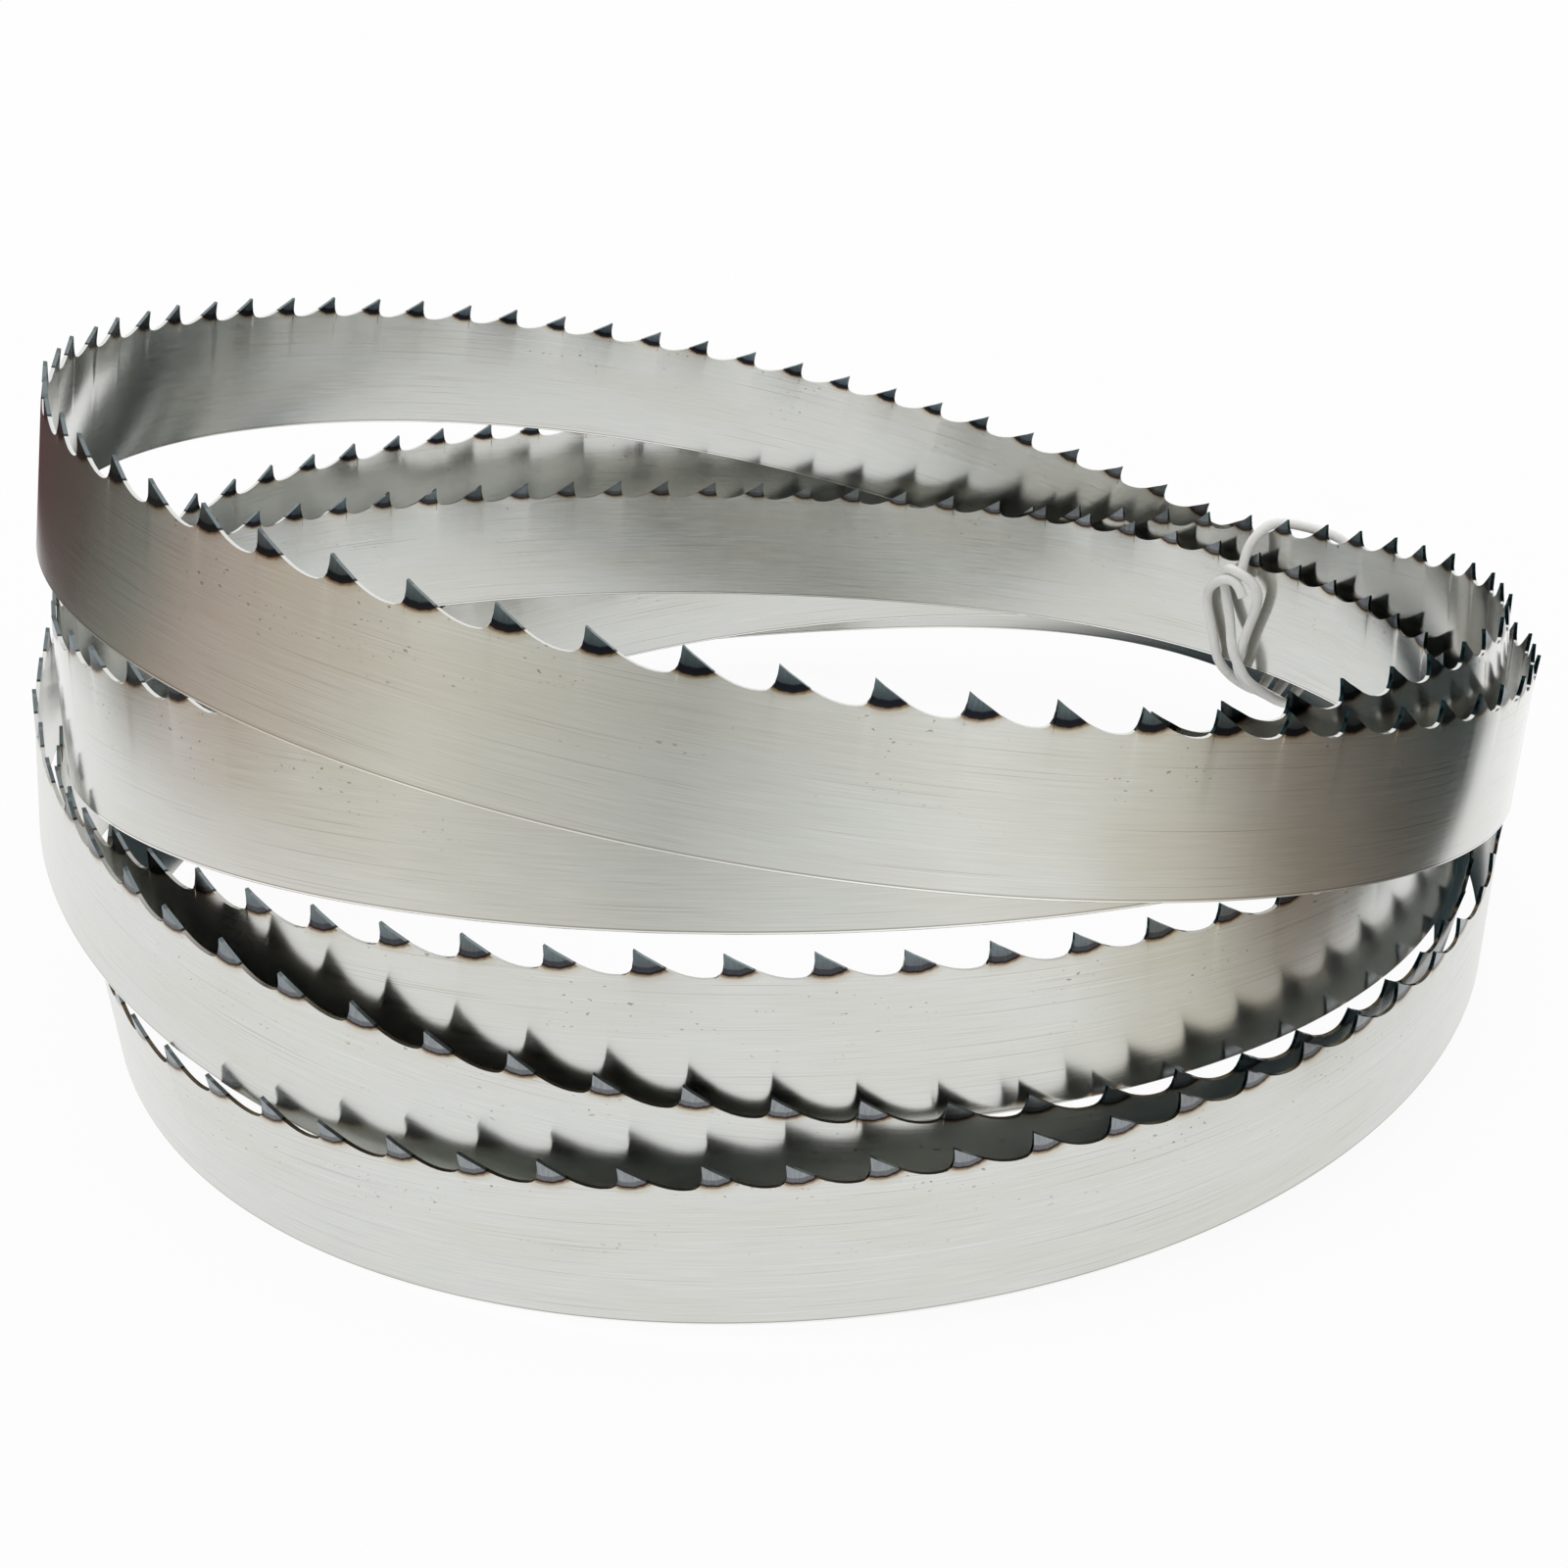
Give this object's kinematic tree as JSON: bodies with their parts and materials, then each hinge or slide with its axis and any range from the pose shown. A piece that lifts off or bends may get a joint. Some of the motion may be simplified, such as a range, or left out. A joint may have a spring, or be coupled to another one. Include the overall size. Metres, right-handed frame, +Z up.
{
  "type": "band saw blade",
  "caption": "Endless toothed steel band for a band saw, coiled into overlapping turns that stand on edge with the teeth up, held by a plastic-coated wire tie.",
  "frame": {"origin": "on the floor that the coil stands on, under the middle of its outer box", "axes": "+Z up, towards the tooth tips; -Y towards the side the picture sees; the wire tie is at +X +Y"},
  "size_m": [0.197, 0.1914, 0.0845],
  "materials": {
    "steel": "fine lengthwise brushing, dark hardened tooth tips",
    "coated_wire": "smooth white plastic coating"
  },
  "bodies": {
    "root": {"blade": "steel", "wire_tie": "coated_wire"}
  },
  "joints": []
}
